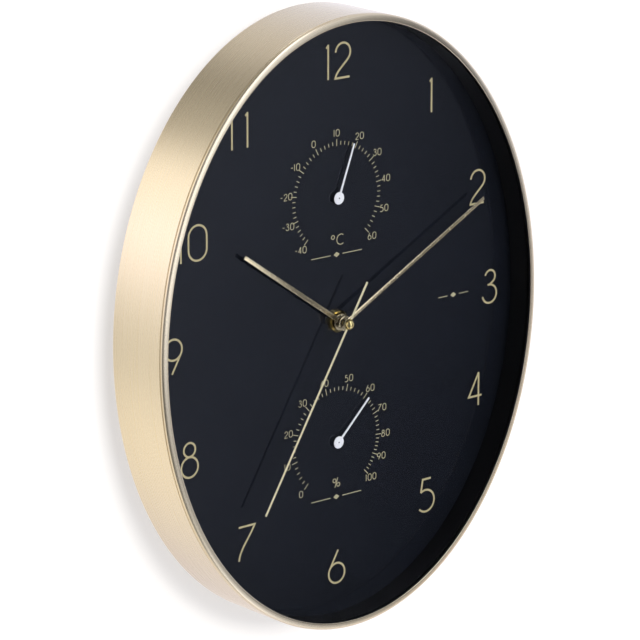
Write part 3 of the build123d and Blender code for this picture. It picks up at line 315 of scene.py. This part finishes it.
def baton(bm, tail, reach, root_width, tip_width, back, front, angle, z=0.0):
    """A flat bar that tapers from its tail to its tip, turned clockwise from 12 and set at z."""
    made = bmesh.ops.create_cube(bm, size=1.0)["verts"]
    bmesh.ops.scale(bm, verts=made, vec=(root_width, front - back, reach + tail))
    bmesh.ops.translate(bm, verts=made, vec=(0.0, -(back + front) / 2, (reach - tail) / 2))
    tip = [vert for vert in made if vert.co.z > reach / 2]
    bmesh.ops.scale(bm, verts=tip, vec=(tip_width / root_width, 1.0, 1.0))
    face = min(vert.co.y for vert in made)
    edges = list({edge for vert in made for edge in vert.link_edges
                  if all(end.co.y < face + 1e-6 for end in edge.verts)})
    bevelled = bmesh.ops.bevel(bm, geom=edges, offset=(front - back) * 0.3, offset_type="OFFSET",
                               segments=2, profile=0.5, affect="EDGES", clamp_overlap=True,
                               material=-1)["verts"]
    whole = list(set(bevelled) | {vert for vert in made if vert.is_valid})
    bmesh.ops.rotate(bm, verts=whole, cent=(0.0, 0.0, 0.0),
                     matrix=Matrix.Rotation(radians(angle), 3, "Y"))
    bmesh.ops.translate(bm, verts=whole, vec=(0.0, 0.0, z))


for gauge, z, angle in (("thermometer", gauge_rise, 20.7), ("hygrometer", -gauge_rise, 45.6)):
    bm = bmesh.new()
    baton(bm, 0.0, needle_reach, needle_root, needle_tip, needle_back, needle_front, angle, z)
    rounded(bm, round_bar(bm, hub_across, hub_back, hub_front, z), width=0.0002)
    finished(gauge + "_pointer_bar", bm, needle_white, gauge + "_pointer", gauge + "_needle")

# The collar nut: a turned brass nut on the movement's bush, grooved for grip. It clamps
# the dial between itself and the rubber washer.
turned_gold = worn_finish(
    "turned_gold", metallic=1.0, scale=700.0, detail=3.0,
    colours=((0.56, 0.44, 0.17), (0.72, 0.58, 0.26)), roughness=(0.08, 0.16),
    bump=(0.1, 0.00005))
clothe("collar_nut", turned_gold)

# The hour and minute hands: straight batons stamped from aluminium and plated champagne on
# the front. Their edges and backs are coloured dark as painted shade. Each has a boss and a sleeve
# pressed on its tube.
hand_thickness, boss_thickness, sleeve_depth = 0.0006, 0.0005, 0.001
broken_edge = 0.00015
widest_boss = 0.0056
hand_gold = worn_finish(
    "champagne_plate", metallic=1.0, scale=600.0, detail=3.0,
    colours=((0.64, 0.53, 0.31), (0.71, 0.59, 0.36)), roughness=(0.24, 0.28),
    bump=(0.03, 0.00005))
# Painted shade: a near-black finish for the hands' backs and edges, where they face away from the
# light.
painted_shade_edge = worn_finish(
    "painted_shade_edge", metallic=0.3, scale=900.0, detail=2.0,
    colours=((0.030, 0.026, 0.020), (0.050, 0.042, 0.032)), roughness=(0.5, 0.65),
    bump=(0.1, 0.00005))


def with_painted_shade(hand):
    """Paints shade on a stamped hand: its back, and its edges past its boss, take the dark finish.
    """
    hand.data.materials.append(painted_shade_edge)
    for face in hand.data.polygons:
        past_boss = face.center.xz.length > widest_boss
        if face.normal.y > 0.5 or (past_boss and face.normal.y > -0.2):
            face.material_index = 1


# Each row: body, reach, width at the root and the tip, height above the dial, boss, sleeve, angle.
for body, reach, root, tip, rise, boss, sleeve, angle in (
        ("hour", 0.096, 0.0029, 0.0026, 0.0044, 0.0108, 0.0068, 305.1),
        ("minute", 0.134, 0.0027, 0.0022, 0.0081, 0.0096, 0.0052, 61.8)):
    back = dial_face + rise
    bm = bmesh.new()
    baton(bm, 0.0, reach, root, tip, back, back + hand_thickness, angle)
    rounded(bm, round_bar(bm, boss, back, back + boss_thickness), broken_edge)
    rounded(bm, round_bar(bm, sleeve, back - sleeve_depth, back + hand_thickness), broken_edge)
    with_painted_shade(finished(body + "_baton", bm, hand_gold, body, body + "_hand"))

# The second hand: a thin baton with a short tail, cream gold in front, with its back and
# edges coloured dark as painted shade. A polished gold dome hides the end of its arbor.
second_back = dial_face + 0.0120
second_front = second_back + 0.0004
second_tail, second_reach, second_root, second_tip = 0.0295, 0.1325, 0.0017, 0.0015
second_angle = 211.2
disc_across, disc_depth = 0.0074, 0.0003
arbor_across, arbor_depth = 0.0030, 0.0024
dome_base, dome_rise = 0.0037, 0.0031
cream_gold = worn_finish(
    "cream_gold_paint", metallic=0.7, scale=600.0, detail=3.0,
    colours=((0.74, 0.66, 0.38), (0.82, 0.74, 0.47)), roughness=(0.30, 0.42),
    bump=(0.05, 0.00005))
bm = bmesh.new()
baton(bm, second_tail, second_reach, second_root, second_tip, second_back, second_front,
      second_angle)
rounded(bm, round_bar(bm, disc_across, second_back - disc_depth, second_front), width=0.0001)
round_bar(bm, arbor_across, second_back - arbor_depth, second_back)
# Painted shade: the hand's back and edges take the dark finish.
with_painted_shade(finished("second_baton", bm, cream_gold, "second", "second_hand"))
bm = bmesh.new()
ball_radius = (dome_base ** 2 + dome_rise ** 2) / (2 * dome_rise)
bmesh.ops.create_uvsphere(bm, u_segments=48, v_segments=48, radius=ball_radius,
                          matrix=Matrix.Rotation(radians(90), 4, "X"))
bmesh.ops.translate(bm, verts=bm.verts, vec=(0.0, ball_radius - dome_rise, 0.0))
cut = bmesh.ops.bisect_plane(bm, geom=bm.verts[:] + bm.edges[:] + bm.faces[:], dist=1e-7,
                             plane_co=(0.0, 0.0, 0.0), plane_no=(0.0, 1.0, 0.0), clear_outer=True)
rim = [item for item in cut["geom_cut"] if isinstance(item, bmesh.types.BMEdge)]
bmesh.ops.holes_fill(bm, edges=rim, sides=0)
bmesh.ops.translate(bm, verts=bm.verts, vec=(0.0, -second_front, 0.0))
finished("cap_dome", bm, turned_gold, "second", "hand_cap")

# The back cover: one black polystyrene moulding with a fine satin grain, like the movement's
# two outer cases. Its rim presses the dial, spacer and glass against the lip.
moulded_black = worn_finish(
    "black_moulding", metallic=0.0, scale=1500.0, detail=2.0,
    colours=((0.016, 0.016, 0.018), (0.028, 0.028, 0.031)), roughness=(0.42, 0.6),
    bump=(0.3, 0.0001))
for name in ("back_cover", "movement_front_case", "movement_rear_case"):
    clothe(name, moulded_black)

# Steel fittings: the keyhole plate and its two screws, the crystal's can and the battery
# contacts, all zinc or nickel plated.
zinc_plate = worn_finish(
    "zinc_plate", metallic=1.0, scale=350.0, detail=4.0,
    colours=((0.50, 0.51, 0.53), (0.70, 0.71, 0.72)), roughness=(0.25, 0.45),
    bump=(0.1, 0.0001))
for name in ("hanger_plate", "hanger_screws", "quartz_crystal", "battery_contact_plus",
             "battery_contact_minus"):
    clothe(name, zinc_plate)

# The quartz movement: white acetal wheels between plastic plates, an iron stator and rotor
# with a copper coil, and a green circuit board. It has a grey setting knob behind and a
# rubber washer in front.
acetal_white, tree, shader = new_finish("white_acetal")
shader.inputs["Subsurface Weight"].default_value = 0.1
wear(tree, shader, object_place(tree), scale=500.0, detail=2.0,
     colours=((0.74, 0.73, 0.67), (0.84, 0.83, 0.78)), roughness=(0.32, 0.48),
     bump=(0.05, 0.00005))
for name in ("movement_mid_plate", "intermediate_wheel", "seconds_wheel", "third_wheel",
             "centre_wheel", "minute_tube", "minute_wheel", "hour_wheel", "coil_bobbin"):
    clothe(name, acetal_white)
grey_moulding = worn_finish(
    "grey_moulding", metallic=0.0, scale=1500.0, detail=2.0,
    colours=((0.26, 0.26, 0.27), (0.34, 0.34, 0.35)), roughness=(0.42, 0.6),
    bump=(0.2, 0.0001))
clothe("setting_knob", grey_moulding)
soft_rubber = worn_finish(
    "soft_rubber", metallic=0.0, scale=1800.0, detail=2.0,
    colours=((0.022, 0.022, 0.022), (0.04, 0.04, 0.04)), roughness=(0.7, 0.9),
    bump=(0.3, 0.0001))
clothe("rubber_washer", soft_rubber)
dark_iron = worn_finish(
    "dark_iron", metallic=1.0, scale=400.0, detail=4.0,
    colours=((0.22, 0.22, 0.23), (0.42, 0.42, 0.43)), roughness=(0.35, 0.6),
    bump=(0.2, 0.0001))
for name in ("stator", "rotor"):
    clothe(name, dark_iron)
copper_coil, tree, shader = new_finish("copper_winding", metallic=0.8)
lay = tree.nodes.new("ShaderNodeMapping")
lay.inputs["Scale"].default_value = (9000.0, 40.0, 40.0)
tree.links.new(object_place(tree), lay.inputs["Vector"])
wear(tree, shader, lay.outputs[0], scale=1.0, detail=1.0,
     colours=((0.42, 0.15, 0.06), (0.74, 0.36, 0.17)), roughness=(0.25, 0.45),
     bump=(0.5, 0.0001))
clothe("coil_winding", copper_coil)
board_green = worn_finish(
    "green_board", metallic=0.0, scale=900.0, detail=3.0,
    colours=((0.02, 0.10, 0.045), (0.05, 0.17, 0.08)), roughness=(0.3, 0.5),
    bump=(0.2, 0.0001))
clothe("circuit_board", board_green)

# The battery: one AA cell in a plain dark sleeve, held between its two contacts in the
# movement's rear case.
cell_sleeve = worn_finish(
    "cell_sleeve", metallic=0.0, scale=60.0, detail=3.0,
    colours=((0.024, 0.028, 0.038), (0.040, 0.046, 0.058)), roughness=(0.2, 0.32),
    bump=(0.02, 0.0001))
clothe("battery_cell", cell_sleeve)

# The gauges' insides: turned brass bushes in the dial and blued steel arbors. In each grey
# cup lies a thin rolled strip of two metals that turns its needle.
rolled_strip = worn_finish(
    "rolled_strip", metallic=1.0, scale=800.0, detail=3.0,
    colours=((0.52, 0.39, 0.20), (0.70, 0.56, 0.34)), roughness=(0.22, 0.4),
    bump=(0.1, 0.0001))
blued_arbor = worn_finish(
    "blued_arbor", metallic=1.0, scale=900.0, detail=3.0,
    colours=((0.06, 0.06, 0.08), (0.14, 0.14, 0.17)), roughness=(0.22, 0.4),
    bump=(0.05, 0.00005))
for gauge in ("thermometer", "hygrometer"):
    clothe(gauge + "_coil", rolled_strip)
    clothe(gauge + "_cup", grey_moulding)
    clothe(gauge + "_arbor", blued_arbor)
    clothe(gauge + "_bush", turned_gold)

# The wall that the clock hangs on and a plain pale floor far below it. The wall glows a
# little, so that it renders white but for the clock's shadow. Only the camera sees the whole
# of it: metal mirrors a small share, and it lights nothing.
wall_gap = 0.0006
wall_in_metal = 0.15


def stage_sheet(name, width, height, turn, place):
    """A flat sheet of the stage: it faces out of the wall at a turn of 90, and up at 0."""
    bm = bmesh.new()
    lie = Matrix.Translation(place) @ Matrix.Rotation(radians(turn), 4, "X")
    bmesh.ops.create_grid(bm, x_segments=1, y_segments=1, size=0.5,
                          matrix=lie @ Matrix.Diagonal((width, height, 1.0, 1.0)))
    mesh = bpy.data.meshes.new(name)
    bm.to_mesh(mesh)
    bm.free()
    sheet = bpy.data.objects.new(name, mesh)
    bpy.context.scene.collection.objects.link(sheet)
    return sheet


def matt_paint(name, colour):
    """The stage's flat matt paint."""
    finish, tree, shader = new_finish(name)
    shader.inputs["Base Color"].default_value = (*colour, 1.0)
    shader.inputs["Roughness"].default_value = 0.9
    return finish, tree, shader


def shown_only(tree, share, surface):
    """Shows a surface to a share of the rays, and lets the rest pass."""
    clear = tree.nodes.new("ShaderNodeBsdfTransparent")
    mix = tree.nodes.new("ShaderNodeMixShader")
    tree.links.new(share, mix.inputs[0])
    tree.links.new(clear.outputs[0], mix.inputs[1])
    tree.links.new(surface, mix.inputs[2])
    tree.links.new(mix.outputs[0], tree.nodes["Material Output"].inputs["Surface"])


wall_paint, tree, shader = matt_paint("pale_wall_paint", (0.52, 0.505, 0.475))
glow = tree.nodes.new("ShaderNodeEmission")
glow.inputs["Color"].default_value = (1.0, 0.98, 0.97, 1.0)
glow.inputs["Strength"].default_value = 0.50
lit = tree.nodes.new("ShaderNodeAddShader")
tree.links.new(shader.outputs[0], lit.inputs[0])
tree.links.new(glow.outputs[0], lit.inputs[1])
rays = tree.nodes.new("ShaderNodeLightPath")
mirrored = arithmetic(tree, "MULTIPLY", rays.outputs["Is Glossy Ray"], wall_in_metal)
seen = arithmetic(tree, "MAXIMUM", rays.outputs["Is Camera Ray"],
                  arithmetic(tree, "MAXIMUM", rays.outputs["Is Transmission Ray"], mirrored))
side = tree.nodes.new("ShaderNodeNewGeometry")
front_side = arithmetic(tree, "SUBTRACT", 1.0, side.outputs["Backfacing"])
shown_only(tree, arithmetic(tree, "MULTIPLY", seen, front_side), lit.outputs[0])
wall = stage_sheet("pale_wall", width=6.0, height=4.0, turn=90.0, place=(0.0, wall_gap, 0.9))
wall.data.materials.append(wall_paint)
floor_paint, tree, shader = matt_paint("pale_floor_paint", (0.86, 0.86, 0.87))
rays = tree.nodes.new("ShaderNodeLightPath")
shown_only(tree, rays.outputs["Is Camera Ray"], shader.outputs[0])
floor = stage_sheet("pale_floor", width=6.0, height=6.0, turn=0.0, place=(0.0, -3.0, -1.1))
floor.data.materials.append(floor_paint)

# The lamp: one square soft box over two metres in front of the dial, a little up and to its
# right. It lights what is matt and throws the clock's shadow, and nothing mirrors it.
lamp_place = Vector((0.35, -2.3, 0.35))
lamp = bpy.data.lights.new("front_lamp", "AREA")
lamp.shape = "SQUARE"
lamp.size = 0.6
lamp.energy = 32.0
lamp.color = (1.0, 0.99, 0.97)
holder = bpy.data.objects.new("front_lamp", lamp)
bpy.context.scene.collection.objects.link(holder)
holder.rotation_mode = "QUATERNION"
holder.rotation_quaternion = (-lamp_place).to_track_quat("-Z", "Y")
holder.location = lamp_place
holder.visible_glossy = False
holder.visible_transmission = False

# The room round the clock: pale screens at the sides, brightest on the left and dimmest
# overhead, and a far end that the dial mirrors, dark straight ahead of it.
room = bpy.data.worlds.new("pale_room")
bpy.context.scene.world = room
room.use_nodes = True
tree = room.node_tree
tree.nodes.remove(tree.nodes["Background"])
apart = tree.nodes.new("ShaderNodeSeparateXYZ")
tree.links.new(tree.nodes.new("ShaderNodeTexCoord").outputs["Generated"], apart.inputs[0])
across_way, depth_way, up_way = apart.outputs
round_turn = arithmetic(tree, "FRACT", arithmetic(
    tree, "DIVIDE", arithmetic(tree, "ARCTAN2", up_way, across_way), 2 * pi))
screens = tree.nodes.new("ShaderNodeValToRGB")
screens.color_ramp.interpolation = "EASE"
stops = screens.color_ramp.elements
stops[0].position, stops[1].position = 0.0, 1.0
stops[0].color = stops[1].color = (0.66, 0.71, 0.92, 1.0)
# Each screen is at a part of one turn about the hands' axis: right at 0, overhead at 0.25,
# left at 0.5 and below at 0.75.
for position, colour in ((0.09, (0.46, 0.49, 0.63)), (0.20, (0.37, 0.37, 0.40)),
                         (0.29, (0.13, 0.13, 0.13)), (0.34, (0.24, 0.24, 0.24)),
                         (0.41, (0.80, 0.79, 0.82)), (0.46, (0.87, 0.86, 0.98)),
                         (0.56, (0.46, 0.46, 0.47)), (0.63, (0.65, 0.63, 0.61)),
                         (0.80, (0.49, 0.48, 0.56)), (0.92, (0.57, 0.55, 0.58))):
    stops.new(position).color = (*colour, 1.0)
tree.links.new(round_turn, screens.inputs["Fac"])


def rising(value, ends, levels, shape="SMOOTHSTEP"):
    """A value that goes between two levels while another goes between two ends."""
    slope = tree.nodes.new("ShaderNodeMapRange")
    slope.interpolation_type = shape
    for socket, amount in zip(slope.inputs[1:5], (*ends, *levels)):
        socket.default_value = amount
    tree.links.new(value, slope.inputs["Value"])
    return slope.outputs["Result"]


# The far end is dim straight ahead of the dial and to its left. On the right there are a
# soft box near the middle, a haze that fades down and outwards, and a pale foot below.
slant = arithmetic(tree, "SUBTRACT", up_way, arithmetic(tree, "MULTIPLY", across_way, 2.0))
haze = arithmetic(tree, "ADD", rising(slant, (-1.58, -1.20), (0.003, 0.42), "LINEAR"),
                  rising(slant, (-1.24, -1.00), (0.0, 0.55)))
soft_box = arithmetic(tree, "MULTIPLY", rising(across_way, (0.44, 0.22), (0.0, 2.3)),
                      rising(up_way, (-0.34, -0.18), (0.0, 1.0)))
foot = rising(up_way, (-0.50, -0.64), (0.0, 1.35))
off_centre = rising(across_way, (0.04, 0.16), (0.07, 1.0))
far_strength = arithmetic(tree, "MULTIPLY", off_centre, arithmetic(
    tree, "ADD", arithmetic(tree, "ADD", haze, soft_box), foot))
far_light = tree.nodes.new("ShaderNodeBackground")
far_light.inputs["Color"].default_value = (0.87, 0.93, 1.12, 1.0)
tree.links.new(far_strength, far_light.inputs["Strength"])
side_light = tree.nodes.new("ShaderNodeBackground")
side_light.inputs["Strength"].default_value = 1.85
tree.links.new(screens.outputs["Color"], side_light.inputs["Color"])
white_out = tree.nodes.new("ShaderNodeBackground")
white_out.inputs["Color"].default_value = (1.0, 1.0, 1.0, 1.0)
rays = tree.nodes.new("ShaderNodeLightPath")
room_mix = tree.nodes.new("ShaderNodeMixShader")
tree.links.new(rising(depth_way, (-0.66, -0.25), (0.0, 1.0)), room_mix.inputs[0])
tree.links.new(far_light.outputs[0], room_mix.inputs[1])
tree.links.new(side_light.outputs[0], room_mix.inputs[2])
sight_mix = tree.nodes.new("ShaderNodeMixShader")
tree.links.new(rays.outputs["Is Camera Ray"], sight_mix.inputs[0])
tree.links.new(room_mix.outputs[0], sight_mix.inputs[1])
tree.links.new(white_out.outputs[0], sight_mix.inputs[2])
tree.links.new(sight_mix.outputs[0], tree.nodes["World Output"].inputs["Surface"])

# The camera, at the photograph's place: about forty degrees round to the left of the dial
# and fifteen degrees above it, with a long lens.
camera_turn, camera_rise = radians(-40.11), radians(15.27)
camera_place = (-1.62188, -1.93948, 0.68425)
camera = bpy.data.objects.new("camera", bpy.data.cameras.new("camera"))
bpy.context.scene.collection.objects.link(camera)
camera.data.lens = 229.98
camera.data.sensor_width = 36.0
camera.data.clip_start = 0.1
camera.location = camera_place
back = Vector((sin(camera_turn) * cos(camera_rise), -cos(camera_turn) * cos(camera_rise),
               sin(camera_rise)))
right = Vector((cos(camera_turn), sin(camera_turn), 0.0))
camera.rotation_mode = "QUATERNION"
camera.rotation_quaternion = Matrix((right, back.cross(right), back)).transposed().to_quaternion()
bpy.context.scene.camera = camera
bpy.context.scene.view_settings.view_transform = "Standard"
